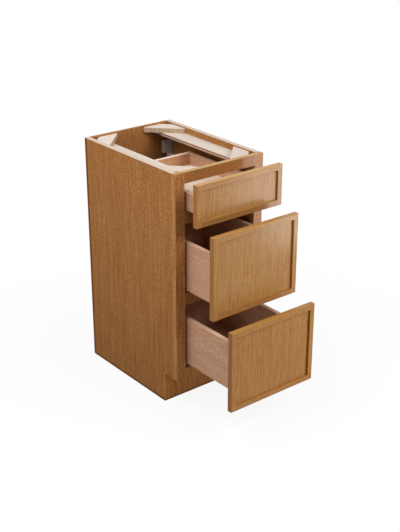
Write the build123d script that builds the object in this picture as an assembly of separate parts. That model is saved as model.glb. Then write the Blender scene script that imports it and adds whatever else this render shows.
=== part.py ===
from build123d import *
from collections import namedtuple
import os

# Three-drawer vanity base cabinet, in millimetres.
# +Z is up, the back stands against the wall at y = 0 and the drawers open towards -Y.
# The origin is on the floor, at the middle of the back.

# Cabinet shell
cabinet_width = 381.0
cabinet_depth = 533.4
cabinet_height = 876.3
side_thickness = 19.05
back_thickness = 12.7
floor_thickness = 12.7
dado_depth = 6.35
toe_height = 114.3
toe_depth = 76.2
toe_board_thickness = 12.7
toe_lip_thickness = 3.2

# Face frame
frame_thickness = 19.05
stile_width = 38.1
top_rail_height = 38.1
cross_rail_height = 44.45
bottom_rail_height = 38.1
top_opening = 96.85
middle_opening = 254.0
tenon_length = 12.7
tenon_thickness = 6.35
tenon_shoulder = 6.35
tenon_end_gap = 0.5
frame_edge_radius = 1.0

# Side rails and corner blocks under the open top
side_rail_width = 63.5
side_rail_thickness = 12.7
side_rail_drop = 22.3
block_leg = 111.0
block_clip = 34.0
block_tip = 5.0
block_thickness = 17.5

# Drawer fronts: a slim frame, rabbeted behind for a recessed panel
side_reveal = 6.35
top_reveal = 11.1
bottom_reveal = 6.2
front_gap = 6.35
top_front_height = 146.0
front_thickness = 19.05
front_frame_width = 19.5
front_recess = 6.8
front_rabbet = 8.0
front_edge_radius = 1.5
closed_gap = 1.5

# Drawer boxes
box_side_gap = 10.0
box_wall = 15.9
box_rear_space = 90.2
upper_box_headroom = 31.7
middle_box_headroom = 68.5
lower_box_headroom = 53.85
box_edge_radius = 1.5
box_bottom_thickness = 6.35
box_bottom_recess = 12.7
box_groove_depth = 6.35
box_groove_end_gap = 0.35
lock_tongue = 6.0
runner_notch_gap = 2.0

# Telescopic runners under the drawers
runner_sheet = 1.2
running_gap = 0.35
side_over_runner_base = 2.4
runner_setback = 4.0
runner_tail = 15.0
runner_flange_height = 20.0
track_side_gap = 2.0
track_head_width = 26.0
track_head_thickness = 2.5
track_wall_spacing = 16.0
track_slot_gap = 1.5
track_end_gap = 1.0
hook_overhang = 8.0
hook_height = 16.0
hook_pin_radius = 2.5
hook_pin_height = 11.85
hook_pin_reach = 8.0
hook_pin_clearance = 0.5

# Locking clips under the front of each drawer
clip_arm_depth = 6.0
clip_length = 56.0
clip_width = 28.0
clip_height = 11.0
clip_corner_radius = 4.0
clip_lever_length = 18.0
clip_lever_width = 9.0
clip_lever_thickness = 4.0

# Moulded brackets that hold the rear ends of the cabinet runners
bracket_width = 48.0
bracket_height = 48.0
bracket_standoff = 31.7
bracket_plate_thickness = 3.0
bracket_corner_radius = 6.0
bracket_plate_rise = 26.0
bracket_spine_width = 14.0
bracket_spine_drop = 20.0
bracket_side_gap = 0.5
bracket_arm_depth = 12.0
bracket_foot_thickness = 3.0
bracket_fin_thickness = 3.5
bracket_grip = 22.0
bracket_hole_radius = 2.2
bracket_hole_spacing = 27.0
bracket_hole_inset = 15.0
bracket_arm_overlap = 1.0

# How far each drawer stands open, and how far its runner base sits above the rail below it
upper_drawer_open = 84.5
middle_drawer_open = 169.8
lower_drawer_open = 266.3
upper_runner_lift = 0.0
middle_runner_lift = 6.1
lower_runner_lift = 12.9

# Planes that several pieces share
half_width = cabinet_width / 2
inner_half = half_width - side_thickness
opening_half = half_width - stile_width
frame_front = -cabinet_depth
frame_back = frame_front + frame_thickness
back_inner = -back_thickness
toe_back = frame_front + toe_depth

# Heights of the rails and of the openings between them
top_rail_bottom = cabinet_height - top_rail_height
upper_rail_top = top_rail_bottom - top_opening
upper_rail_bottom = upper_rail_top - cross_rail_height
lower_rail_top = upper_rail_bottom - middle_opening
lower_rail_bottom = lower_rail_top - cross_rail_height
bottom_rail_top = toe_height + bottom_rail_height
frame_rails = {
    "top_rail": (top_rail_bottom, cabinet_height),
    "upper_cross_rail": (upper_rail_bottom, upper_rail_top),
    "lower_cross_rail": (lower_rail_bottom, lower_rail_top),
    "bottom_rail": (toe_height, bottom_rail_top),
}

# Drawer fronts share what the reveals, the gaps and the top front leave of the height
fronts_top = cabinet_height - top_reveal
fronts_bottom = toe_height + bottom_reveal
deep_front_height = (fronts_top - fronts_bottom - top_front_height - 2 * front_gap) / 2
upper_front_bottom = fronts_top - top_front_height
middle_front_bottom = upper_front_bottom - front_gap - deep_front_height
front_half = half_width - side_reveal
panel_half = front_half - front_frame_width + front_rabbet
lip_half = front_half - front_frame_width

# Drawer box and runner lengths, counted from the back of the drawer front
box_half = opening_half - box_side_gap
box_inner_half = box_half - box_wall
box_length = cabinet_depth + closed_gap - back_thickness - box_rear_space
clip_arm_end = box_wall + clip_arm_depth
runner_end = box_length + hook_overhang
track_front = frame_front - closed_gap + clip_arm_end + track_end_gap
track_rear = frame_front - closed_gap + runner_end
cabinet_runner_rear = track_rear + runner_tail

# Nested runner sections, worked outwards from the track head
middle_inner_width = track_head_width + 2 * running_gap
middle_inner_height = track_head_thickness + 2 * running_gap
middle_outer_width = middle_inner_width + 2 * runner_sheet
middle_outer_height = middle_inner_height + 2 * runner_sheet
moving_inner_width = middle_outer_width + 2 * running_gap
moving_inner_height = middle_outer_height + 2 * running_gap
moving_outer_width = moving_inner_width + 2 * runner_sheet
moving_outer_height = moving_inner_height + 2 * runner_sheet
runner_top = side_over_runner_base + box_bottom_recess
middle_top = runner_top - runner_sheet - running_gap
track_top = middle_top - runner_sheet - running_gap
track_center = box_inner_half - track_side_gap - moving_outer_width / 2
track_slot_width = track_wall_spacing + 2 * track_slot_gap

# Each box reaches up to its headroom under the rail above it
Drawer = namedtuple("Drawer", "name base box_top front_low front_high opened")
drawers = [
    Drawer("upper", upper_rail_top + upper_runner_lift, top_rail_bottom - upper_box_headroom,
           upper_front_bottom, fronts_top, upper_drawer_open),
    Drawer("middle", lower_rail_top + middle_runner_lift, upper_rail_bottom - middle_box_headroom,
           middle_front_bottom, middle_front_bottom + deep_front_height, middle_drawer_open),
    Drawer("lower", bottom_rail_top + lower_runner_lift, lower_rail_bottom - lower_box_headroom,
           fronts_bottom, fronts_bottom + deep_front_height, lower_drawer_open),
]


def board(x, y, z):
    # A square-edged board between three (low, high) pairs
    low, high = zip(x, y, z)
    size = [b - a for a, b in zip(low, high)]
    middle = [(a + b) / 2 for a, b in zip(low, high)]
    return Pos(*middle) * Box(*size)


def both_ways(half):
    return (-half, half)


def mirrored(shape):
    return mirror(shape, about=Plane.YZ)


def eased(shape, edges, radius):
    return fillet(edges, radius) if radius > 0 else shape


def swept_along_y(section, y_front, y_rear):
    # The section is drawn with x to the right and z upwards
    plane = Plane(origin=(0, y_rear, 0), x_dir=(1, 0, 0), z_dir=(0, -1, 0))
    return extrude(plane * section, amount=y_rear - y_front)


# Carcass

def side_panel():
    outline = [
        (frame_back, toe_height),
        (frame_back, cabinet_height),
        (0, cabinet_height),
        (0, 0),
        (toe_back, 0),
        (toe_back, toe_height),
    ]
    face = make_face(Polyline(*outline, close=True))
    panel = extrude(Plane.YZ.offset(inner_half) * face, amount=side_thickness)
    dado = board((inner_half, inner_half + dado_depth), (frame_back, back_inner), floor_heights())
    return panel - dado


def floor_heights():
    return (bottom_rail_top - floor_thickness, bottom_rail_top)


def floor_panel():
    return board(both_ways(inner_half + dado_depth), (frame_back, back_inner), floor_heights())


def back_panel():
    return board(both_ways(inner_half), (back_inner, 0), (0, cabinet_height))


def toe_kick_board():
    # Rebated at both ends, so a full-width lip covers the front edges of the sides
    depth = (toe_back, toe_back + toe_board_thickness)
    floor_underside = floor_heights()[0]
    body = board(both_ways(inner_half), depth, (0, floor_underside))
    lip = board(both_ways(half_width), (toe_back - toe_lip_thickness, toe_back), (0, toe_height))
    return body + lip


def tenon(rail, length):
    middle = (frame_front + frame_back) / 2
    thickness = (middle - tenon_thickness / 2, middle + tenon_thickness / 2)
    heights = (rail[0] + tenon_shoulder, rail[1] - tenon_shoulder)
    return board(both_ways(opening_half + length), thickness, heights)


def frame_stile():
    stile = board((opening_half, half_width), (frame_front, frame_back), (toe_height, cabinet_height))
    corner = stile.edges().filter_by(Axis.Z).sort_by(Axis.X)[-2:].sort_by(Axis.Y)[0]
    stile = eased(stile, corner, frame_edge_radius)
    for rail in frame_rails.values():
        stile -= tenon(rail, tenon_length + tenon_end_gap)
    return stile


def frame_rail(rail):
    return board(both_ways(opening_half), (frame_front, frame_back), rail) + tenon(rail, tenon_length)


def side_rail():
    top = cabinet_height - side_rail_drop
    width = (inner_half - side_rail_width, inner_half)
    return board(width, (frame_back, back_inner), (top - side_rail_thickness, top))


def corner_block(wall_y, inward):
    # A triangle with its square corner clipped and its two tips blunted
    outline = [
        (inner_half - block_clip, wall_y),
        (inner_half - block_leg, wall_y),
        (inner_half - block_leg, wall_y + inward * block_tip),
        (inner_half - block_tip, wall_y + inward * block_leg),
        (inner_half, wall_y + inward * block_leg),
        (inner_half, wall_y + inward * block_clip),
    ]
    face = make_face(Polyline(*outline, close=True))
    seat = Plane.XY.offset(cabinet_height - side_rail_drop)
    return extrude(seat * face, amount=block_thickness, dir=(0, 0, 1))


# Runners: sections are drawn for the right-hand side

def channel(width, height, top):
    # A channel with its edges turned in below, hung from its top face
    tube = Rectangle(width, height) - Rectangle(width - 2 * runner_sheet, height - 2 * runner_sheet)
    slot = Pos(0, (runner_sheet - height) / 2) * Rectangle(track_slot_width, runner_sheet)
    return Pos(track_center, top - height / 2) * (tube - slot)


def cabinet_runner(base):
    track_edge = track_center - track_head_width / 2
    outline = [
        (opening_half, base),
        (track_edge, base),
        (track_edge, base + runner_sheet),
        (opening_half - runner_sheet, base + runner_sheet),
        (opening_half - runner_sheet, base + runner_flange_height),
        (opening_half, base + runner_flange_height),
    ]
    angle = swept_along_y(
        make_face(Polyline(*outline, close=True)), frame_front + runner_setback, cabinet_runner_rear
    )
    return angle + swept_along_y(track_section(base), track_front, track_rear)


def track_section(base):
    # A hat on two walls: the head that the intermediate runner grips
    wall_height = track_top - track_head_thickness
    walls = Rectangle(track_wall_spacing, wall_height)
    walls -= Rectangle(track_wall_spacing - 2 * runner_sheet, wall_height)
    head_middle = track_top - track_head_thickness / 2
    head = Pos(track_center, base + head_middle) * Rectangle(track_head_width, track_head_thickness)
    return Pos(track_center, base + wall_height / 2) * walls + head


def intermediate_runner(drawer):
    section = channel(middle_outer_width, middle_outer_height, drawer.base + middle_top)
    shift = drawer.opened / 2
    return swept_along_y(section, track_front - shift, track_rear - shift)


def drawer_runner(drawer):
    top = drawer.base + runner_top
    back_of_front = frame_front - closed_gap - drawer.opened
    rear = back_of_front + runner_end
    section = channel(moving_outer_width, moving_outer_height, top)
    rail = swept_along_y(section, back_of_front + clip_arm_end, rear)
    half = moving_outer_width / 2
    hook = board((track_center - half, track_center + half), (rear - runner_sheet, rear),
                 (top - runner_sheet, top + hook_height))
    pin_rear = rear - runner_sheet
    pin_front = rear - hook_overhang - hook_pin_reach
    pin = Pos(track_center, top + hook_pin_height) * Circle(hook_pin_radius)
    return rail + hook + swept_along_y(pin, pin_front, pin_rear)


def locking_clip(drawer):
    top = drawer.base + runner_top
    front = frame_front - closed_gap - drawer.opened + box_wall
    outer = track_center - moving_outer_width / 2
    middle = outer - clip_width / 2
    body = board((outer - clip_width, outer), (front, front + clip_length), (top - clip_height, top))
    rear_corners = body.edges().filter_by(Axis.Z).group_by(Axis.Y)[-1]
    body = fillet(rear_corners, clip_corner_radius)
    arm = board((middle, outer + moving_outer_width), (front, front + clip_arm_depth),
                (top - moving_outer_height, top))
    lever = board((outer - clip_width - clip_lever_length, middle), (front, front + clip_lever_width),
                  (top - clip_lever_thickness, top))
    return body + arm + lever


def runner_bracket(base):
    outer = inner_half - bracket_side_gap
    plate_front = back_inner - bracket_standoff
    plate_bottom = base + bracket_plate_rise
    center = Pos(outer - bracket_width / 2, plate_bottom + bracket_height / 2)
    rim = RectangleRounded(bracket_width, bracket_height, bracket_corner_radius)
    for rise in both_ways(bracket_hole_spacing / 2):
        rim -= Pos(bracket_hole_inset - bracket_width / 2, rise) * Circle(bracket_hole_radius)
    plate = swept_along_y(center * rim, plate_front, plate_front + bracket_plate_thickness)
    spine = board((outer - bracket_spine_width, outer), (plate_front, back_inner),
                  (plate_bottom + bracket_corner_radius, plate_bottom + bracket_height - bracket_spine_drop))
    foot_heights = (base - bracket_foot_thickness, base)
    foot_front = cabinet_runner_rear - bracket_grip
    arm_rear = plate_front + bracket_arm_depth
    foot = board((track_center, outer), (foot_front, arm_rear), foot_heights)
    fin = board((opening_half, opening_half + bracket_fin_thickness), (foot_front, arm_rear),
                (foot_heights[0], base + runner_flange_height))
    arm = board((opening_half, outer), (plate_front, arm_rear),
                (foot_heights[0], plate_bottom + bracket_corner_radius + bracket_arm_overlap))
    return plate + spine + foot + fin + arm


# Drawer fronts

def front_layers(drawer):
    # The front lip, and the rabbeted depth behind it
    back = frame_front - closed_gap - drawer.opened
    face = back - front_thickness
    return (face, face + front_recess), (face + front_recess, back)


def front_stile(drawer):
    lip, rear = front_layers(drawer)
    heights = (drawer.front_low, drawer.front_high)
    stile = board((lip_half, front_half), (lip[0], rear[1]), heights)
    face_edges = stile.edges().group_by(Axis.Y)[0].sort_by(Axis.X)[1:]
    stile = eased(stile, face_edges, front_edge_radius)
    return stile - board((lip_half, panel_half), rear, heights)


def front_rail(drawer, outer, inward):
    lip, rear = front_layers(drawer)
    inner = outer + inward * front_frame_width
    shoulder = inner - inward * front_rabbet
    rail = board(both_ways(lip_half), lip, sorted((outer, inner)))
    face_edges = rail.edges().filter_by(Axis.X).group_by(Axis.Y)[0].sort_by(Axis.Z)
    rail = eased(rail, face_edges[0] if inward > 0 else face_edges[-1], front_edge_radius)
    return rail + board(both_ways(panel_half), rear, sorted((outer, shoulder)))


def front_panel(drawer):
    rear = front_layers(drawer)[1]
    inset = front_frame_width - front_rabbet
    return board(both_ways(panel_half), rear, (drawer.front_low + inset, drawer.front_high - inset))


# Drawer boxes

def box_heights(drawer):
    return drawer.base + side_over_runner_base, drawer.box_top


def box_groove(drawer):
    low = drawer.base + runner_top
    return low, low + box_bottom_thickness


def box_ends(drawer):
    front = frame_front - closed_gap - drawer.opened
    return front, front + box_length


def tongue_heights(drawer):
    low, high = box_heights(drawer)
    return low, high - box_edge_radius


def round_top(shape, along):
    top_edges = shape.edges().filter_by(along).group_by(Axis.Z)[-1]
    return eased(shape, top_edges, box_edge_radius)


def box_side(drawer):
    front, rear = box_ends(drawer)
    heights = box_heights(drawer)
    side = round_top(board((box_inner_half, box_half), (front, rear), heights), Axis.Y)
    groove_x = (box_inner_half, box_inner_half + box_groove_depth)
    side -= board(groove_x, (front, rear), box_groove(drawer))
    for dado_front in (front + box_wall - lock_tongue, rear - box_wall):
        dado_y = (dado_front, dado_front + lock_tongue)
        side -= board((box_inner_half, box_inner_half + lock_tongue), dado_y, tongue_heights(drawer))
    return side


def box_cross_board(drawer, inner, outward):
    # The front or back of a box: its inner face lies at inner, with a tongue at each end
    outer = inner + outward * box_wall
    body = board(both_ways(box_inner_half), sorted((inner, outer)), box_heights(drawer))
    body = round_top(body, Axis.X)
    tongue_y = sorted((inner, inner + outward * lock_tongue))
    body += board(both_ways(box_inner_half + lock_tongue), tongue_y, tongue_heights(drawer))
    groove_y = sorted((inner, inner + outward * box_groove_depth))
    return body - board(both_ways(box_half), groove_y, box_groove(drawer))


def box_front(drawer):
    front = box_ends(drawer)[0]
    return box_cross_board(drawer, front + box_wall, -1)


def box_back(drawer):
    # Notched for the runners, and drilled for the pins of their rear hooks
    rear = box_ends(drawer)[1]
    inner = rear - box_wall
    back = box_cross_board(drawer, inner, 1)
    underside = drawer.base + runner_top
    notch_inner = track_center - moving_outer_width / 2 - runner_notch_gap
    notch = board((notch_inner, box_half), (inner, rear), (box_heights(drawer)[0], underside))
    bore = Pos(track_center, underside + hook_pin_height) * Circle(hook_pin_radius + hook_pin_clearance)
    hole = swept_along_y(bore, rear - hook_pin_reach - hook_pin_clearance, rear)
    for cut in (notch, hole):
        back = back - cut - mirrored(cut)
    return back


def box_bottom(drawer):
    front, rear = box_ends(drawer)
    tongue = box_groove_depth - box_groove_end_gap
    reach = box_wall - tongue
    return board(both_ways(box_inner_half + tongue), (front + reach, rear - reach), box_groove(drawer))


def carcass_nodes():
    nodes = {
        "back_panel": [back_panel()],
        "floor_panel": [floor_panel()],
        "toe_kick_board": [toe_kick_board()],
    }
    pairs = {
        "side_panel": side_panel(),
        "stile": frame_stile(),
        "side_rail": side_rail(),
    }
    for wall, wall_y, inward in (("rear", back_inner, -1), ("front", frame_back, 1)):
        block = corner_block(wall_y, inward)
        nodes[f"{wall}_left_corner_block"] = [mirrored(block)]
        nodes[f"{wall}_right_corner_block"] = [block]
    for name, piece in pairs.items():
        nodes[f"left_{name}"] = [mirrored(piece)]
        nodes[f"right_{name}"] = [piece]
    for name, rail in frame_rails.items():
        nodes[name] = [frame_rail(rail)]
    brackets = [runner_bracket(drawer.base) for drawer in drawers]
    nodes["rear_runner_brackets"] = brackets + [mirrored(bracket) for bracket in brackets]
    return nodes


def drawer_nodes(drawer):
    singles = {
        "front_top_rail": front_rail(drawer, drawer.front_high, -1),
        "front_bottom_rail": front_rail(drawer, drawer.front_low, 1),
        "front_panel": front_panel(drawer),
        "box_front": box_front(drawer),
        "box_back": box_back(drawer),
        "box_bottom": box_bottom(drawer),
    }
    sided = {"front_{}_stile": front_stile(drawer), "box_{}_side": box_side(drawer)}
    grouped = {
        "cabinet_runners": cabinet_runner(drawer.base),
        "intermediate_runners": intermediate_runner(drawer),
        "drawer_runners": drawer_runner(drawer),
        "locking_clips": locking_clip(drawer),
    }
    nodes = {f"{drawer.name}_{name}": [piece] for name, piece in singles.items()}
    for name, piece in sided.items():
        nodes[f"{drawer.name}_{name.format('left')}"] = [mirrored(piece)]
        nodes[f"{drawer.name}_{name.format('right')}"] = [piece]
    for name, piece in grouped.items():
        nodes[f"{drawer.name}_{name}"] = [mirrored(piece), piece]
    return nodes


nodes = carcass_nodes()
for drawer in drawers:
    nodes.update(drawer_nodes(drawer))

os.makedirs("parts", exist_ok=True)
for name, pieces in nodes.items():
    solids = [solid for piece in pieces for solid in piece.solids()]
    export_step(Compound(children=solids) if len(solids) > 1 else solids[0], f"parts/{name}.step")
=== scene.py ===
import math
import bmesh
import bpy
from mathutils import Matrix, Vector


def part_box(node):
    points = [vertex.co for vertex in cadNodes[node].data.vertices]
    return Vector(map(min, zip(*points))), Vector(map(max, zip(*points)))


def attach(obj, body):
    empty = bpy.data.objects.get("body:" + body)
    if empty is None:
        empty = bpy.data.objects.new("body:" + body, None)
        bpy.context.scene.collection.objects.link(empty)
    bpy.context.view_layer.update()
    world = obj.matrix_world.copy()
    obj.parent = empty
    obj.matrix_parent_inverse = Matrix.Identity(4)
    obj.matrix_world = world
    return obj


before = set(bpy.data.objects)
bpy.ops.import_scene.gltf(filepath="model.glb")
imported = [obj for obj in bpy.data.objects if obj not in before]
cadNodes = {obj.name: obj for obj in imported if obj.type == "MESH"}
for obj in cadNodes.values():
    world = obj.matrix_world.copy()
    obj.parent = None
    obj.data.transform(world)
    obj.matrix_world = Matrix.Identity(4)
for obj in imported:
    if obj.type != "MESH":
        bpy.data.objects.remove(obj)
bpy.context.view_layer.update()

drawers = ("upper", "middle", "lower")
sides = {"left": -1, "right": 1}  # with the sign of x there
along = {"x": Vector((1, 0, 0)), "y": Vector((0, 1, 0)), "z": Vector((0, 0, 1))}
fullRange = (0.0, 1.0)
halfway = 0.5  # in that range


# node helpers: an input takes a number, a colour or another node's output

gridStep = (200, -180)  # one column and one row of the node editor


def feed(tree, node, inputs):
    for key, value in inputs.items():
        if isinstance(value, bpy.types.NodeSocket):
            tree.links.new(value, node.inputs[key])
        else:
            node.inputs[key].default_value = value


def put(tree, kind, at, inputs=None, **settings):
    node = tree.nodes.new(kind)
    node.location = (at[0] * gridStep[0], at[1] * gridStep[1])
    for key, value in settings.items():
        setattr(node, key, value)
    feed(tree, node, inputs or {})
    return node


def newGroup(name, takes, gives):
    # takes has each input's default: a number, or for a vector three numbers or None
    group = bpy.data.node_groups.new(name, "ShaderNodeTree")
    for label, value in takes.items():
        kind = "NodeSocketFloat" if isinstance(value, float) else "NodeSocketVector"
        socket = group.interface.new_socket(label, in_out="INPUT", socket_type=kind)
        if value is not None:
            socket.default_value = value
    for label in gives:
        group.interface.new_socket(label, in_out="OUTPUT", socket_type="NodeSocketFloat")
    inlet = put(group, "NodeGroupInput", (-6, 0))
    outlet = put(group, "NodeGroupOutput", (6, 0))
    return group, inlet.outputs, outlet


def placeGroup(tree, group, at, inputs):
    return put(tree, "ShaderNodeGroup", at, inputs, node_tree=group).outputs


def calc(tree, operation, a, b, at):
    return put(tree, "ShaderNodeMath", at, {0: a, 1: b}, operation=operation).outputs[0]


def absolute(tree, value, at):
    return put(tree, "ShaderNodeMath", at, {0: value}, operation="ABSOLUTE").outputs[0]


def vectorCalc(tree, operation, inputs, at):
    return put(tree, "ShaderNodeVectorMath", at, inputs, operation=operation).outputs


def split(tree, vector, at):
    return put(tree, "ShaderNodeSeparateXYZ", at, {0: vector}).outputs


def spread(tree, value, span, at, onto=fullRange):
    limits = {1: span[0], 2: span[1], 3: onto[0], 4: onto[1]}
    return put(tree, "ShaderNodeMapRange", at, {0: value, **limits}).outputs[0]


def tint(tree, amount, a, b, at):
    # inputs 6 and 7 and output 2 are the mix node's colours
    return put(tree, "ShaderNodeMix", at, {0: amount, 6: a, 7: b}, data_type="RGBA").outputs[2]


def noise(tree, vector, at, scale=1.0, detail=1.0):
    inputs = {"Vector": vector, "Scale": scale, "Detail": detail}
    return put(tree, "ShaderNodeTexNoise", at, inputs).outputs


def stretched(tree, vector, sizes, at, scale=1.0, detail=1.0):
    # noise with its own fineness along each axis
    pulled = vectorCalc(tree, "MULTIPLY", {0: vector, 1: sizes}, at)[0]
    return noise(tree, pulled, (at[0] + 1, at[1]), scale, detail)["Fac"]


# shared effects

# of three scales, the last is along the fibre
fibreNoise = {
    "drift": 3.0, "bands": (60.0, 60.0, 0.9), "streaks": (1.0, 1.0, 0.016),
    "bandShare": 0.08, "streakShare": 0.30, "fleckShare": 0.62, "toneRange": (0.37, 0.63),
    "lines": (1.0, 1.0, 0.012), "lineRange": (0.055, 0.015),
    "gate": (30.0, 30.0, 4.0), "gateRange": (0.40, 0.56), "gateOnto": (0.15, 1.0),
    "breaks": (900.0, 900.0, 60.0), "breakRange": (0.38, 0.52), "breakOnto": (0.40, 1.0),
    "dashRange": (0.56, 0.68), "heightShare": 0.5,
}


def makeFibre():
    group, takes, outlet = newGroup("woodFibre", {
        "Vector": None, "Wander": 0.004, "Line Amount": 1.0, "Line Scale": 40.0,
        "Fleck Scale": (330.0, 330.0, 250.0), "Dash Amount": 0.0, "Dash Scale": (190.0, 190.0, 5.0),
    }, ("Tone", "Lines", "Height"))
    # the fibre runs along z and wanders a little
    drift = noise(group, takes["Vector"], (-5, 2), fibreNoise["drift"])["Color"]
    centred = vectorCalc(group, "SUBTRACT", {0: drift, 1: (halfway, halfway, halfway)}, (-4, 2))[0]
    swing = vectorCalc(group, "SCALE", {0: centred, "Scale": takes["Wander"]}, (-3, 2))[0]
    bent = vectorCalc(group, "ADD", {0: takes["Vector"], 1: swing}, (-2, 2))[0]
    # its tone comes from broad bands, long streaks and short flecks
    bands = stretched(group, bent, fibreNoise["bands"], (-1, 3))
    fine = vectorCalc(group, "MULTIPLY", {0: bent, 1: takes["Fleck Scale"]}, (-2, 0))[0]
    streaks = stretched(group, fine, fibreNoise["streaks"], (-1, 1))
    flecks = noise(group, fine, (0, -1))["Fac"]
    mixed = calc(group, "MULTIPLY", bands, fibreNoise["bandShare"], (1, 3))
    for value, share, row in ((streaks, "streakShare", 1), (flecks, "fleckShare", -1)):
        part = calc(group, "MULTIPLY", value, fibreNoise[share], (1, row))
        mixed = calc(group, "ADD", mixed, part, (2, row))
    tone = spread(group, mixed, fibreNoise["toneRange"], (4, 2))
    # open pores: thin broken lines where a slow noise crosses its middle value
    slow = stretched(group, bent, fibreNoise["lines"], (-1, -3), takes["Line Scale"], detail=0.0)
    away = absolute(group, calc(group, "SUBTRACT", slow, halfway, (1, -3)), (2, -3))
    ridge = spread(group, away, fibreNoise["lineRange"], (3, -3))
    gate = stretched(group, bent, fibreNoise["gate"], (-1, -5))
    gate = spread(group, gate, fibreNoise["gateRange"], (1, -5), fibreNoise["gateOnto"])
    breaks = stretched(group, bent, fibreNoise["breaks"], (-1, -7))
    breaks = spread(group, breaks, fibreNoise["breakRange"], (1, -7), fibreNoise["breakOnto"])
    lines = calc(group, "MULTIPLY", ridge, gate, (3, -5))
    lines = calc(group, "MULTIPLY", lines, breaks, (4, -5))
    lines = calc(group, "MULTIPLY", lines, takes["Line Amount"], (5, -4))
    # dark dashes: the peaks of a finer noise
    peaks = stretched(group, bent, takes["Dash Scale"], (-1, -9), detail=0.0)
    peaks = spread(group, peaks, fibreNoise["dashRange"], (1, -9))
    dashes = calc(group, "MULTIPLY", peaks, takes["Dash Amount"], (2, -9))
    lines = calc(group, "MAXIMUM", lines, dashes, (5, -6))
    raised = calc(group, "MULTIPLY", mixed, fibreNoise["heightShare"], (4, 0))
    height = calc(group, "SUBTRACT", raised, lines, (5, 0))
    feed(group, outlet, {"Tone": tone, "Lines": lines, "Height": height})
    return group


rubNoise = {
    "samples": 4, "facing": (0.995, 0.80), "scale": 70.0, "detail": 3.0,
    "range": (0.32, 0.62), "onto": (0.35, 1.0),
}


def makeEdgeWear():
    group, takes, outlet = newGroup("edgeWear", {"Vector": None, "Radius": 0.002}, ("Mask",))
    # an edge is where a rounded normal leaves the flat one
    rounded = put(group, "ShaderNodeBevel", (-4, 1), {"Radius": takes["Radius"]})
    rounded.samples = rubNoise["samples"]
    flat = put(group, "ShaderNodeNewGeometry", (-4, -1)).outputs["Normal"]
    facing = vectorCalc(group, "DOT_PRODUCT", {0: rounded.outputs[0], 1: flat}, (-3, 0))["Value"]
    edge = spread(group, facing, rubNoise["facing"], (-2, 0))
    rub = noise(group, takes["Vector"], (-3, 2), rubNoise["scale"], rubNoise["detail"])["Fac"]
    patches = spread(group, rub, rubNoise["range"], (-2, 2), rubNoise["onto"])
    feed(group, outlet, {"Mask": calc(group, "MULTIPLY", edge, patches, (0, 0))})
    return group


plyNoise = {
    "scale": 240.0, "detail": 2.0, "waver": (-0.12, 0.12), "stripe": (0.40, 0.60), "glue": (0.10, 0.02),
}


def makePlies():
    defaults = {"Vector": None, "Depth": 0.0, "Ply": 0.0025}
    group, takes, outlet = newGroup("plies", defaults, ("Stripe", "Glue"))
    rough = noise(group, takes["Vector"], (-5, 1), plyNoise["scale"], plyNoise["detail"])["Fac"]
    waver = spread(group, rough, fullRange, (-4, 1), plyNoise["waver"])
    count = calc(group, "DIVIDE", takes["Depth"], takes["Ply"], (-4, 0))
    count = calc(group, "ADD", count, waver, (-3, 0))
    wave = calc(group, "PINGPONG", count, 1.0, (-2, 0))
    stripe = spread(group, wave, plyNoise["stripe"], (-1, 0))
    # a glue line lies where one ply gives way to the next
    away = absolute(group, calc(group, "SUBTRACT", wave, halfway, (-1, -1)), (0, -1))
    glue = spread(group, away, plyNoise["glue"], (1, -1))
    feed(group, outlet, {"Stripe": stripe, "Glue": glue})
    return group


hazeNoise = {
    "cloud": 60.0, "cloudDetail": 4.0,
    "scratch": (2200.0, 40.0, 2200.0), "scratchDetail": 2.0, "heightShare": 0.5,
}


def makeHaze():
    gives = ("Cloud", "Scratch", "Height")
    group, takes, outlet = newGroup("surfaceHaze", {"Vector": None, "Fineness": 1.0}, gives)
    scaled = vectorCalc(group, "SCALE", {0: takes["Vector"], "Scale": takes["Fineness"]}, (-5, 0))[0]
    cloud = noise(group, scaled, (-3, 1), hazeNoise["cloud"], hazeNoise["cloudDetail"])["Fac"]
    scratch = stretched(group, scaled, hazeNoise["scratch"], (-4, -1), detail=hazeNoise["scratchDetail"])
    clouded = calc(group, "MULTIPLY", cloud, hazeNoise["heightShare"], (-1, 0))
    scratched = calc(group, "MULTIPLY", scratch, hazeNoise["heightShare"], (-1, -1))
    height = calc(group, "ADD", clouded, scratched, (1, 0))
    feed(group, outlet, {"Cloud": cloud, "Scratch": scratch, "Height": height})
    return group


woodFibre = makeFibre()
edgeWear = makeEdgeWear()
plies = makePlies()
surfaceHaze = makeHaze()
print("shared effects ready")


# material helpers

shaderColumn = 10
outputColumn = 13


def newMaterial(name):
    material = bpy.data.materials.new(name)
    material.use_nodes = True
    tree = material.node_tree
    shader = tree.nodes["Principled BSDF"]
    shader.location = (shaderColumn * gridStep[0], 0)
    tree.nodes["Material Output"].location = (outputColumn * gridStep[0], 0)
    return material, tree, shader


def objectPlace(tree, at):
    return put(tree, "ShaderNodeTexCoord", at).outputs["Object"]


def boardNormal(tree, at):
    # x, y and z of the way that the surface faces
    normal = put(tree, "ShaderNodeTexCoord", (at[0] - 1, at[1])).outputs["Normal"]
    return split(tree, normal, at)


def setColor(tree, color):
    tree.links.new(color, tree.nodes["Principled BSDF"].inputs["Base Color"])


def rubEdges(tree, where, color, look):
    wear = placeGroup(tree, edgeWear, (-3, 2), {"Vector": where, "Radius": look["wearRadius"]})
    amount = calc(tree, "MULTIPLY", wear["Mask"], look["wear"], (1, 1))
    return tint(tree, amount, color, look["worn"], (3, 0))


def dress(node, material):
    slots = cadNodes[node].data.materials
    slots.clear()
    slots.append(material)


# wood

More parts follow.
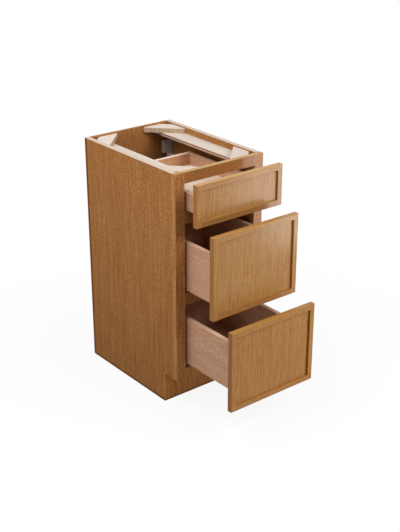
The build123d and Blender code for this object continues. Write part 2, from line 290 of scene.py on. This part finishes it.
board = {
    "slideStep": (0.37, 0.61, 0.23), "slideSpan": (1.7, 1.3, 2.1),  # metres
    "topRange": (0.55, 0.85), "topOnto": (0.0, 0.85),  # how far a face looks up, and its tint
    # the edge tint is a painted shade
    "edgeRange": (0.60, 0.90), "edgeOnto": (0.0, 0.85), "underside": -1.6,  # the same for the edges
    "poreDull": 0.12, "bumpDepth": 0.0006,
}


def layGrain(tree, where, look, grain, number):
    # turns the board so its grain runs along z, and slides it by its number so that boards differ
    turn = grain.rotation_difference(along["z"]).to_euler("XYZ")
    steps = zip(board["slideStep"], board["slideSpan"])
    slide = tuple(number * step % span for step, span in steps)
    laid = put(tree, "ShaderNodeMapping", (-4, 0), {"Vector": where, "Rotation": turn, "Location": slide})
    return placeGroup(tree, woodFibre, (-3, 0), {
        "Vector": laid.outputs[0], "Wander": look["wander"],
        "Line Amount": look["lines"], "Line Scale": look["lineScale"], "Fleck Scale": look["fleckScale"],
        "Dash Amount": look["dashes"], "Dash Scale": look["dashScale"],
    })


def colorBoard(tree, fibre, look):
    ramp = put(tree, "ShaderNodeValToRGB", (-1, -1), {0: fibre["Tone"]})
    tones = ramp.color_ramp.elements
    tones[0].color = look["dark"]
    tones[1].color = look["light"]
    tones.new(halfway).color = look["mid"]
    color = tint(tree, fibre["Lines"], ramp.outputs[0], look["pore"], (0, -1))
    if look["top"]:
        # faces that look up have a tone of their own: on raw ply edges and end grain it is their own
        # colour, on the oak fronts, rails and stiles a painted highlight, on the lower fronts and the deep
        # box floors a painted shade, and on the upper box's back a painted highlight
        upward = boardNormal(tree, (-2, -3))["Z"]
        amount = spread(tree, upward, board["topRange"], (-1, -3), board["topOnto"])
        color = tint(tree, amount, color, look["top"], (1, -1))
    if look["edge"]:
        # painted shade: the side edges and the rounded lower edge are darker and redder
        normal = boardNormal(tree, (-2, -5))
        across = absolute(tree, normal["X"], (-1, -5))
        below = calc(tree, "MULTIPLY", normal["Z"], board["underside"], (-1, -6))
        cut = calc(tree, "MAXIMUM", across, below, (0, -6))
        amount = spread(tree, cut, board["edgeRange"], (0, -5), board["edgeOnto"])
        color = tint(tree, amount, color, look["edge"], (1, -2))
    return color


def finishBoard(tree, shader, fibre, look):
    # dark fibre and pores are duller than the rest
    smooth, dull = look["rough"]
    gloss = spread(tree, fibre["Tone"], fullRange, (2, 2), (dull, smooth))
    pores = calc(tree, "MULTIPLY", fibre["Lines"], board["poreDull"], (2, 3))
    bump = put(tree, "ShaderNodeBump", (5, 3), {
        "Height": fibre["Height"], "Strength": look["bump"], "Distance": board["bumpDepth"]})
    feed(tree, shader, {
        "Roughness": calc(tree, "ADD", gloss, pores, (3, 2)), "Normal": bump.outputs[0],
        "Specular IOR Level": look["specular"],
        "Coat Weight": look["coat"], "Coat Roughness": look["coatRough"],
    })


def woodMaterial(name, look, grain, number):
    material, tree, shader = newMaterial(name)
    where = objectPlace(tree, (-5, 0))
    fibre = layGrain(tree, where, look, grain, number)
    color = rubEdges(tree, where, colorBoard(tree, fibre, look), look)
    setColor(tree, color)
    finishBoard(tree, shader, fibre, look)
    return material, where, color


def showPlies(material, where, color, depth, mask, look):
    # lays raw ply stripes over the colour wherever the mask is on
    tree = material.node_tree
    layers = placeGroup(tree, plies, (3, -4), {"Vector": where, "Depth": depth, "Ply": look["ply"]})
    raw = tint(tree, layers["Stripe"], look["face"], look["cross"], (4, -4))
    glued = calc(tree, "MULTIPLY", layers["Glue"], look["glueAmount"], (4, -5))
    raw = tint(tree, glued, raw, look["glue"], (5, -4))
    color = tint(tree, mask, color, raw, (6, -2))
    setColor(tree, color)
    return color


# the colour and height of the painted shade along the edge on the floor
footShade = {"color": (0.190, 0.060, 0.008, 1), "low": 0.0050, "high": 0.0068}
sideFootShade = {
    **footShade, "low": 0.0085, "high": 0.0105,
    "rearLow": 0.011, "rearHigh": 0.014, "reach": 0.6, "softShade": 0.24,
}


def paintFootShade(material, where, color, look):
    # a painted shade along the edge on the floor and, on a side, a soft painted shade that darkens it
    # towards its foot; a side is also darker along its rear edge
    tree = material.node_tree
    place = split(tree, where, (4, -7))
    amount = spread(tree, place["Z"], (look["high"], look["low"]), (5, -7))
    if "reach" in look:
        behind = spread(tree, place["Y"], (-look["rearHigh"], -look["rearLow"]), (5, -8))
        broad = absolute(tree, boardNormal(tree, (4, -9))["X"], (5, -9))
        behind = calc(tree, "MULTIPLY", behind, broad, (6, -8))
        amount = calc(tree, "MAXIMUM", amount, behind, (6, -7))
        softShade = spread(tree, place["Z"], (look["reach"], 0.0), (5, -10), (0.0, look["softShade"]))
        amount = calc(tree, "MAXIMUM", amount, softShade, (7, -7))
    setColor(tree, tint(tree, amount, color, look["color"], (8, -2)))


firstNumber = {"sides": 1, "carcass": 3, "sideRails": 8, "drawers": 41}  # a number picks a board's grain
footShaded = ("back_panel", "toe_kick_board")


def dressBoards(boards, first):
    for number, (node, (look, axis)) in enumerate(boards.items(), first):
        material, where, color = woodMaterial(node, look, along[axis], number)
        if node in footShaded:
            paintFootShade(material, where, color, footShade)
        dress(node, material)


# drawer fronts

# top: a painted highlight on the faces that look up; edge: a painted shade on the side edges and the
# rounded lower edge
frontOak = {
    "dark": (0.396, 0.182, 0.042, 1), "mid": (0.470, 0.238, 0.066, 1), "light": (0.550, 0.297, 0.100, 1),
    "pore": (0.315, 0.082, 0.018, 1), "worn": (0.520, 0.285, 0.085, 1),
    "top": (0.460, 0.262, 0.068, 1), "edge": (0.333, 0.110, 0.000, 1),
    "wander": 0.004, "lines": 0.30, "lineScale": 80.0, "fleckScale": (330.0, 330.0, 250.0),
    "dashes": 0.55, "dashScale": (420.0, 420.0, 12.0), "wear": 0.25, "wearRadius": 0.0022,
    "rough": (0.34, 0.44), "bump": 0.10, "specular": 0.05, "coat": 0.45, "coatRough": 0.19,
}
# the middle and lower fronts: a darker top tone, a painted shade under the drawers above
shadedTopOak = {**frontOak, "top": (0.378, 0.182, 0.044, 1)}
# the lowest front: darker and redder tones and edge than the front oak, a painted shade
shadedLowerOak = {
    **shadedTopOak,
    "dark": (0.385, 0.163, 0.029, 1), "mid": (0.457, 0.212, 0.046, 1), "light": (0.534, 0.266, 0.071, 1),
    "edge": (0.279, 0.082, 0.000, 1), "dashScale": (420.0, 420.0, 20.0),
    "lines": 0.36, "lineScale": 100.0, "coat": 0.43,
}
railGrain = {"dashes": 0.22, "lines": 0.20}  # the rails are calmer than the panels


# scales a look's tones down, for a painted shade
def shadedTones(look, share):
    tones = {}
    for tone in ("dark", "mid", "light"):
        red, green, blue, alpha = look[tone]
        tones[tone] = (red * share[0], green * share[1], blue * share[2], alpha)
    return {**look, **tones}


# drawer boxes

boxBirch = {
    "dark": (0.490, 0.262, 0.150, 1), "mid": (0.595, 0.340, 0.210, 1), "light": (0.690, 0.420, 0.278, 1),
    "pore": (0.440, 0.225, 0.130, 1), "worn": (0.440, 0.200, 0.105, 1),
    "top": (0.680, 0.440, 0.300, 1), "edge": None,
    "wander": 0.006, "lines": 0.85, "lineScale": 80.0, "fleckScale": (480.0, 480.0, 70.0),
    "dashes": 0.0, "dashScale": (190.0, 190.0, 5.0), "wear": 0.55, "wearRadius": 0.0030,
    "rough": (0.46, 0.60), "bump": 0.06, "specular": 0.12, "coat": 0.0, "coatRough": 0.30,
}
# the upper box's back: a painted highlight along its top edge
litTopShallowBack = {
    **boxBirch,
    "dark": (0.480, 0.235, 0.122, 1), "mid": (0.583, 0.306, 0.170, 1), "light": (0.676, 0.378, 0.225, 1),
    "top": (0.820, 0.680, 0.570, 1), "wear": 0.10,
}
# the upper box's floor: a paler copy of the birch, painted light from above
litShallowFloor = {
    **boxBirch,
    "dark": (0.740, 0.590, 0.480, 1), "mid": (0.800, 0.660, 0.545, 1), "light": (0.840, 0.720, 0.610, 1),
    "top": None, "lines": 0.25,
}
# the deeper boxes' floors: a darker top face, a painted shade
shadedDeepFloor = {**boxBirch, "top": (0.560, 0.330, 0.210, 1)}
# the share of each tone left on the lower rail of a front: a painted shade, deepest on the upper drawer
drawerLooks = {
    "upper": {"front": frontOak, "back": litTopShallowBack, "floor": litShallowFloor, "lowRailShade": (0.79, 0.72, 0.79)},
    "middle": {"front": shadedTopOak, "back": boxBirch, "floor": shadedDeepFloor, "lowRailShade": (0.89, 0.81, 0.83)},
    "lower": {"front": shadedLowerOak, "back": boxBirch, "floor": shadedDeepFloor, "lowRailShade": (0.96, 0.93, 0.95)},
}


def drawerBoards(drawer):
    look = drawerLooks[drawer]
    oak = look["front"]
    calm = {**oak, **railGrain}
    boards = {
        "front_panel": (oak, "z"), "front_left_stile": (oak, "z"), "front_right_stile": (oak, "z"),
        "front_top_rail": (calm, "x"), "front_bottom_rail": (shadedTones(calm, look["lowRailShade"]), "x"),
        "box_left_side": (boxBirch, "y"), "box_right_side": (boxBirch, "y"), "box_front": (boxBirch, "x"),
        "box_back": (look["back"], "x"), "box_bottom": (look["floor"], "y"),
    }
    return {f"{drawer}_{name}": wood for name, wood in boards.items()}


def dressDrawers():
    boards = {}
    for drawer in drawers:
        boards.update(drawerBoards(drawer))
    dressBoards(boards, firstNumber["drawers"])


# carcass

oakVeneer = {
    **frontOak,
    "dark": (0.318, 0.131, 0.033, 1), "mid": (0.404, 0.180, 0.054, 1), "light": (0.492, 0.237, 0.087, 1),
    "pore": (0.290, 0.070, 0.016, 1), "top": None, "edge": None,
    "lines": 0.22, "lineScale": 36.0, "fleckScale": (230.0, 230.0, 175.0),
    "dashes": 0.50, "dashScale": (300.0, 300.0, 8.0),
    "wear": 0.15, "rough": (0.52, 0.64), "specular": 0.06, "coat": 0.0,
}
# a lighter copy of the veneer for the toe board and bottom rail: painted light, as little lamp light
# reaches them
litKickOak = {
    **oakVeneer,
    "dark": (0.470, 0.188, 0.047, 1), "mid": (0.587, 0.252, 0.074, 1), "light": (0.704, 0.326, 0.114, 1),
}
# the top rail takes the front's top tone, a painted highlight on its upward face
railOak = {
    **frontOak,
    "dark": (0.286, 0.115, 0.030, 1), "mid": (0.360, 0.156, 0.043, 1), "light": (0.440, 0.205, 0.062, 1),
    "edge": None, "coat": 0.52, "coatRough": 0.27,
}
crossOak = {**railOak, "top": None}
blockPine = {
    "dark": (0.390, 0.255, 0.150, 1), "mid": (0.500, 0.352, 0.225, 1), "light": (0.600, 0.450, 0.315, 1),
    "pore": (0.430, 0.300, 0.185, 1), "worn": (0.760, 0.680, 0.590, 1),
    "top": (0.750, 0.665, 0.580, 1), "edge": None,
    "wander": 0.012, "lines": 0.70, "lineScale": 140.0, "fleckScale": (330.0, 330.0, 40.0),
    "dashes": 0.0, "dashScale": (190.0, 190.0, 5.0), "wear": 0.30, "wearRadius": 0.0015,
    "rough": (0.66, 0.80), "bump": 0.18, "specular": 0.20, "coat": 0.0, "coatRough": 0.30,
}
frontPine = {**blockPine, "worn": (0.620, 0.530, 0.450, 1), "top": (0.660, 0.565, 0.490, 1)}
carcassBoards = {
    "back_panel": (oakVeneer, "z"), "floor_panel": (oakVeneer, "y"), "toe_kick_board": (litKickOak, "z"),
    "top_rail": (railOak, "z"), "upper_cross_rail": (crossOak, "z"), "lower_cross_rail": (crossOak, "z"),
    "bottom_rail": (litKickOak, "z"),
    "rear_left_corner_block": (blockPine, "z"), "rear_right_corner_block": (blockPine, "z"),
    "front_left_corner_block": (frontPine, "z"), "front_right_corner_block": (frontPine, "z"),
}
sideEdge = {
    "face": (0.640, 0.540, 0.465, 1), "cross": (0.585, 0.470, 0.385, 1), "glue": (0.400, 0.270, 0.185, 1),
    "glueAmount": 0.35, "ply": 0.0027, "topRange": (0.6, 0.9),
}


def dressSidePanel(side, number):
    # the raw top edge shows the plies, counted outwards from the inner face
    node = side + "_side_panel"
    material, where, color = woodMaterial(node, oakVeneer, along["z"], number)
    tree = material.node_tree
    across = absolute(tree, split(tree, where, (-2, -4))["X"], (-1, -4))
    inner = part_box("right_side_panel")[0].x
    depth = calc(tree, "SUBTRACT", across, inner, (0, -4))
    top = spread(tree, boardNormal(tree, (0, -5))["Z"], sideEdge["topRange"], (1, -5))
    color = showPlies(material, where, color, depth, top, sideEdge)
    paintFootShade(material, where, color, sideFootShade)
    dress(node, material)


# the stiles take the front's top tone, a painted highlight on their upward faces
rightStile = {
    **oakVeneer,
    "dark": (0.360, 0.150, 0.039, 1), "mid": (0.460, 0.208, 0.065, 1), "light": (0.560, 0.271, 0.103, 1),
    "top": frontOak["top"], "coat": 0.44, "coatRough": 0.27,
}
leftStile = {**rightStile, "coat": 0.10}
stileLooks = {"left": leftStile, "right": rightStile}


def dressStile(side, number):
    # a stile has its panel's number and so its grain, and the joint between them hardly shows
    node = side + "_stile"
    dress(node, woodMaterial(node, stileLooks[side], along["z"], number)[0])


railPly = {
    **blockPine,
    "dark": (0.630, 0.535, 0.450, 1), "mid": (0.665, 0.575, 0.495, 1), "light": (0.700, 0.615, 0.540, 1),
    "top": None, "wander": 0.008, "lines": 0.18,
}
railEdge = {
    "face": (0.640, 0.460, 0.330, 1), "cross": (0.330, 0.180, 0.100, 1), "glue": (0.170, 0.085, 0.045, 1),
    "glueAmount": 0.70, "ply": 0.0042, "flatRange": (0.6, 0.4),
}


def dressSideRail(side, number):
    # all edges show the plies, counted down from the upper face
    node = side + "_side_rail"
    material, where, color = woodMaterial(node, railPly, along["y"], number)
    tree = material.node_tree
    depth = calc(tree, "SUBTRACT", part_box(node)[1].z, split(tree, where, (-2, -4))["Z"], (0, -4))
    flat = absolute(tree, boardNormal(tree, (0, -5))["Z"], (1, -6))
    edges = spread(tree, flat, railEdge["flatRange"], (1, -5))
    showPlies(material, where, color, depth, edges, railEdge)
    dress(node, material)


def dressCarcass():
    for index, side in enumerate(sides):
        dressSidePanel(side, firstNumber["sides"] + index)
        dressStile(side, firstNumber["sides"] + index)
        dressSideRail(side, firstNumber["sideRails"] + index)
    dressBoards(carcassBoards, firstNumber["carcass"])


dressCarcass()
dressDrawers()
print("wood boards dressed")


# runners, clips and brackets

zincSteel = {
    "dull": (0.34, 0.35, 0.36, 1), "bright": (0.54, 0.55, 0.55, 1), "worn": (0.68, 0.68, 0.67, 1),
    "rough": (0.40, 0.58), "scratchRange": (0.3, 0.7), "metallic": 1.0, "fineness": 1.0,
    "bump": 0.05, "bumpDepth": 0.0003, "wear": 0.5, "wearRadius": 0.0008, "specular": 0.5,
}
palePlastic = {
    **zincSteel,
    "dull": (0.52, 0.52, 0.53, 1), "bright": (0.60, 0.60, 0.61, 1), "worn": (0.72, 0.72, 0.72, 1),
    "rough": (0.40, 0.52), "metallic": 0.0, "fineness": 2.0, "bump": 0.08, "specular": 0.4,
}
# a darker, browner copy of the pale plastic for the rear brackets: a painted shade
shadedBracketPlastic = {
    **palePlastic,
    "dull": (0.47, 0.41, 0.39, 1), "bright": (0.56, 0.49, 0.465, 1), "worn": (0.68, 0.61, 0.58, 1),
    "specular": 0.25,
}


def hardwareMaterial(name, look):
    material, tree, shader = newMaterial(name)
    where = objectPlace(tree, (-5, 0))
    haze = placeGroup(tree, surfaceHaze, (-4, 0), {"Vector": where, "Fineness": look["fineness"]})
    color = tint(tree, haze["Cloud"], look["dull"], look["bright"], (-2, 0))
    setColor(tree, rubEdges(tree, where, color, look))
    bump = put(tree, "ShaderNodeBump", (2, -2), {
        "Height": haze["Height"], "Strength": look["bump"], "Distance": look["bumpDepth"]})
    feed(tree, shader, {
        "Roughness": spread(tree, haze["Scratch"], look["scratchRange"], (-2, -1), look["rough"]),
        "Normal": bump.outputs[0], "Metallic": look["metallic"], "Specular IOR Level": look["specular"],
    })
    return material


def dressHardware():
    steel = hardwareMaterial("zincSteel", zincSteel)
    plastic = hardwareMaterial("palePlastic", palePlastic)
    for drawer in drawers:
        for runner in ("cabinet_runners", "intermediate_runners", "drawer_runners"):
            dress(f"{drawer}_{runner}", steel)
        dress(f"{drawer}_locking_clips", plastic)
    dress("rear_runner_brackets", hardwareMaterial("shadedBracketPlastic", shadedBracketPlastic))


dressHardware()
print("hardware dressed")


# screws and bumpers, each set copied from one master mesh

ringPoints = 16
copyTwist = 0.9  # radians from one copy to the next


def ring(mesh, radius, height):
    angles = [2 * math.pi * i / ringPoints for i in range(ringPoints)]
    points = [(radius * math.cos(angle), radius * math.sin(angle), height) for angle in angles]
    return [mesh.verts.new(point) for point in points]


def skin(mesh, low, high):
    for i in range(len(low)):
        j = (i + 1) % len(low)
        mesh.faces.new((low[i], low[j], high[j], high[i]))


def turnProfile(mesh, profile):
    # a turned form with its base closed; its last ring is handed back
    rings = [ring(mesh, radius, height) for radius, height in profile]
    for low, high in zip(rings, rings[1:]):
        skin(mesh, low, high)
    mesh.faces.new(rings[0][::-1])
    return rings[-1]


panHead = {
    "radius": 0.0036, "height": 0.0018, "flat": 0.0024, "sunk": 0.0001,
    "belly": 0.45, "shoulder": 0.82,  # shares of the height
    "brow": 0.9,  # share of the radius at the shoulder
    "arm": 0.0018, "slot": 0.00042, "depth": 0.0010,
    "taper": 0.8,  # share of the recess's width at its floor
}


def makeScrew():
    mesh = bmesh.new()
    radius, height = panHead["radius"], panHead["height"]
    rim = turnProfile(mesh, [
        (radius, -panHead["sunk"]), (radius, height * panHead["belly"]),
        (radius * panHead["brow"], height * panHead["shoulder"]), (panHead["flat"], height),
    ])
    sinkCross(mesh, rim)
    return mesh


def sinkCross(mesh, rim):
    # cross recess: two points at the end of each arm and one in each inner corner
    arm, slot = panHead["arm"], panHead["slot"]
    outline = [Vector(point) for point in ((arm, -slot, 0), (arm, slot, 0), (slot, slot, 0))]
    quarters = range(4)
    cross = []
    for quarter in quarters:
        spin = Matrix.Rotation(quarter * math.pi / 2, 4, "Z")
        cross += [spin @ point for point in outline]
    lift = Vector((0, 0, panHead["height"]))
    drop = Vector((0, 0, panHead["height"] - panHead["depth"]))
    mouth = [mesh.verts.new(point + lift) for point in cross]
    pit = [mesh.verts.new(point * panHead["taper"] + drop) for point in cross]
    skin(mesh, mouth[::-1], pit[::-1])
    mesh.faces.new(pit)
    # the flat of the head, between the rim and the recess
    step = ringPoints // len(quarters)
    for quarter in quarters:
        arc = [rim[(quarter * step + i) % ringPoints] for i in range(step + 1)]
        first = quarter * len(outline)
        right, left, corner = mouth[first:first + len(outline)]
        after = mouth[(first + len(outline)) % len(mouth)]
        mesh.faces.new(arc + [after, corner, left])
        mesh.faces.new((arc[0], left, right))


bumper = {"radius": 0.0045, "height": 0.0013, "rings": 4, "sunk": 0.0001, "inset": 0.011}


def makeBumper():
    mesh = bmesh.new()
    profile = [(bumper["radius"], -bumper["sunk"])]
    for i in range(1, bumper["rings"]):
        lean = math.pi / 2 * i / bumper["rings"]
        profile.append((bumper["radius"] * math.cos(lean), bumper["height"] * math.sin(lean)))
    mesh.faces.new(turnProfile(mesh, profile))
    return mesh


def scatter(name, master, spots, material, body):
    # copies the master onto each spot, with its axis along the spot's outward direction
    whole = bmesh.new()
    for index, (point, outward) in enumerate(spots):
        copied = master.copy()
        spin = Matrix.Rotation(index * copyTwist, 4, "Z")
        lean = outward.to_track_quat("Z", "Y").to_matrix().to_4x4()
        copied.transform(Matrix.Translation(point) @ lean @ spin)
        part = bpy.data.meshes.new("copy")
        copied.to_mesh(part)
        copied.free()
        whole.from_mesh(part)
        bpy.data.meshes.remove(part)
    mesh = bpy.data.meshes.new(name)
    whole.to_mesh(mesh)
    whole.free()
    mesh.materials.append(material)
    piece = bpy.data.objects.new(name, mesh)
    bpy.context.scene.collection.objects.link(piece)
    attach(piece, body)


screwSpots = {
    "blockShares": (0.22, 0.72), "blockTip": 0.005, "frontSpread": 0.075, "frontInset": 0.028,
    "runnerSetback": 0.0125, "runnerRise": 0.0125, "runnerSheet": 0.0012,
    "plateStandoff": 0.0317, "plateRows": (0.0365, 0.0635), "plateInset": 0.0335,
}


def blockSpots():
    # two screws in the slanting face of each corner block
    spots = []
    tip = screwSpots["blockTip"]
    for wall, inward in (("rear", -1), ("front", 1)):
        for side, sign in sides.items():
            low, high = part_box(f"{wall}_{side}_corner_block")
            cornerX = high.x if sign > 0 else low.x
            wallY = high.y if inward < 0 else low.y
            z = (low.z + high.z) / 2
            leg = high.x - low.x
            start = Vector((cornerX - sign * leg, wallY + inward * tip, z))
            end = Vector((cornerX - sign * tip, wallY + inward * leg, z))
            outward = Vector((-sign, inward, 0)).normalized()
            spots += [(start.lerp(end, share), outward) for share in screwSpots["blockShares"]]
    return spots


def runnerSpots():
    # one screw holds the front of each cabinet runner to the edge of its stile
    spots = []
    sheet = screwSpots["runnerSheet"]
    for drawer in drawers:
        low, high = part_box(drawer + "_cabinet_runners")
        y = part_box("left_stile")[0].y + screwSpots["runnerSetback"]
        z = low.z + screwSpots["runnerRise"]
        spots.append((Vector((low.x + sheet, y, z)), along["x"]))
        spots.append((Vector((high.x - sheet, y, z)), -along["x"]))
    return spots


def plateSpots():
    # two screws in the plate of each rear bracket
    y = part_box("back_panel")[0].y - screwSpots["plateStandoff"]
    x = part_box("right_side_panel")[0].x - screwSpots["plateInset"]
    lows = [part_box(drawer + "_cabinet_runners")[0].z for drawer in drawers]
    return [(Vector((sign * x, y, low + rise)), -along["y"])
            for low in lows for rise in screwSpots["plateRows"] for sign in sides.values()]


def drawerSpots(drawer):
    # two rows of screws inside the box front, or one where the box is shallow
    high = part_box(drawer + "_box_front")[1]
    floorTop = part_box(drawer + "_box_bottom")[1].z
    inset = screwSpots["frontInset"]
    rows = [floorTop + inset, high.z - inset]
    if rows[1] - rows[0] < inset:
        rows = [(floorTop + high.z) / 2]
    return [(Vector((sign * screwSpots["frontSpread"], high.y, z)), along["y"])
            for sign in sides.values() for z in rows]


def bumperSpots(drawer):
    # one in each corner of a front's back
    low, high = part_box(drawer + "_front_left_stile")
    inset = bumper["inset"]
    x = -low.x - inset
    return [(Vector((sign * x, high.y, z)), along["y"])
            for sign in sides.values() for z in (low.z + inset, high.z - inset)]


screwSteel = {
    **zincSteel, "dull": (0.20, 0.19, 0.17, 1), "bright": (0.34, 0.32, 0.29, 1), "fineness": 4.0,
}
paleScrew = {
    **screwSteel, "dull": (0.44, 0.34, 0.24, 1), "bright": (0.54, 0.43, 0.32, 1), "metallic": 0.3,
}
bumperVinyl = {
    **palePlastic, "dull": (0.60, 0.59, 0.56, 1), "bright": (0.70, 0.69, 0.66, 1), "rough": (0.20, 0.30),
}


def placeFasteners():
    screw = makeScrew()
    dome = makeBumper()
    darkSteel = hardwareMaterial("screwSteel", screwSteel)
    brassy = hardwareMaterial("paleScrew", paleScrew)
    vinyl = hardwareMaterial("bumperVinyl", bumperVinyl)
    scatter("block_screws", screw, blockSpots(), brassy, "carcass")
    scatter("runner_screws", screw, runnerSpots() + plateSpots(), darkSteel, "carcass")
    for drawer in drawers:
        body = drawer + "_drawer"
        scatter(drawer + "_drawer_screws", screw, drawerSpots(drawer), darkSteel, body)
        scatter(drawer + "_front_bumpers", dome, bumperSpots(drawer), vinyl, body)
    screw.free()
    dome.free()


placeFasteners()
print("screws and bumpers placed")


# stage, lights and camera

white = (1, 1, 1, 1)


def seenWhite(tree, at):
    # on for the camera and for what lacquer, metal or glass shows of the ground, off for other light
    path = put(tree, "ShaderNodeLightPath", at).outputs
    seen = calc(tree, "MAXIMUM", path["Is Camera Ray"], path["Is Glossy Ray"], (at[0] + 1, at[1]))
    return calc(tree, "MAXIMUM", seen, path["Is Transmission Ray"], (at[0] + 2, at[1]))


skyFill = 0.345  # the strength that lights the object


def setSky():
    world = bpy.data.worlds.new("studio")
    bpy.context.scene.world = world
    world.use_nodes = True
    tree = world.node_tree
    seen = seenWhite(tree, (-5, 0))
    strength = spread(tree, seen, fullRange, (-1, 0), (skyFill, 1.0))
    feed(tree, tree.nodes["Background"], {"Color": white, "Strength": strength})


floorLook = {
    "half": 14.0, "rough": 0.9,
    "pale": (0.95, 0.95, 0.95, 1), "bounce": (0.38, 0.38, 0.38, 1),  # what is seen, and what gives light
    "middle": (0.0, -0.4, 0.0), "nearRadius": 0.55, "farRadius": 1.3, "nearWhite": 0.90,
}


def floorPaint():
    paint, tree, shader = newMaterial("floorPaint")
    seen = seenWhite(tree, (-6, 2))
    color = tint(tree, seen, floorLook["bounce"], floorLook["pale"], (-2, 0))
    feed(tree, shader, {"Base Color": color, "Roughness": floorLook["rough"], "Specular IOR Level": 0.0})
    # plain white further out, with a share of the object's shadow near it
    where = objectPlace(tree, (-6, 4))
    away = vectorCalc(tree, "DISTANCE", {0: where, 1: floorLook["middle"]}, (-5, 4))["Value"]
    ringSpan = (floorLook["nearRadius"], floorLook["farRadius"])
    plain = spread(tree, away, ringSpan, (-4, 4), (floorLook["nearWhite"], 1.0))
    share = calc(tree, "MULTIPLY", seen, plain, (-2, 3))
    glow = put(tree, "ShaderNodeEmission", (10, 2), {"Color": white, "Strength": 1.0})
    mixed = put(tree, "ShaderNodeMixShader", (12, 0), {0: share, 1: shader.outputs[0], 2: glow.outputs[0]})
    tree.links.new(mixed.outputs[0], tree.nodes["Material Output"].inputs["Surface"])
    return paint


def setFloor():
    mesh = bpy.data.meshes.new("floor")
    half = floorLook["half"]
    corners = [(-half, -half, 0), (half, -half, 0), (half, half, 0), (-half, half, 0)]
    mesh.from_pydata(corners, [], [(0, 1, 2, 3)])
    mesh.materials.append(floorPaint())
    floor = bpy.data.objects.new("floor", mesh)
    bpy.context.scene.collection.objects.link(floor)


def placeAimed(thing, spec):
    thing.location = spec["at"]
    thing.rotation_euler = (Vector(spec["aim"]) - Vector(spec["at"])).to_track_quat("-Z", "Y").to_euler()
    bpy.context.scene.collection.objects.link(thing)


lamps = {
    "overhead": {"at": (-1.2, -0.2, 2.8), "aim": (0.0, -0.35, 0.6), "size": (1.4, 1.8), "watts": 36.6},
    "frontTop": {"at": (0.9, -2.6, 2.5), "aim": (0.0, -0.5, 0.6), "size": (1.8, 1.4), "watts": 49.6},
    "lowRight": {"at": (1.09, -1.52, 0.30), "aim": (0.0, -0.6, 0.6), "size": (0.5, 0.4), "watts": 4.0},
    "left": {"at": (-1.5, -0.4, 1.00), "aim": (0.0, -0.3, 0.75), "size": (1.2, 0.5), "watts": 4.5},
}


def setLamps():
    for name, lamp in lamps.items():
        light = bpy.data.lights.new(name, "AREA")
        light.shape = "RECTANGLE"
        light.size, light.size_y = lamp["size"]
        light.energy = lamp["watts"]
        holder = bpy.data.objects.new(name, light)
        holder.visible_camera = False
        placeAimed(holder, lamp)


eye = {"at": (-2.0900, -3.0381, 1.9437), "aim": (-0.01462, -0.44243, 0.47712), "lens": 69.59}


def setCamera():
    camera = bpy.data.objects.new("camera", bpy.data.cameras.new("camera"))
    camera.data.lens = eye["lens"]
    placeAimed(camera, eye)
    bpy.context.scene.camera = camera


setSky()
setFloor()
setLamps()
setCamera()
bpy.context.scene.view_settings.view_transform = "Standard"
print("stage ready")
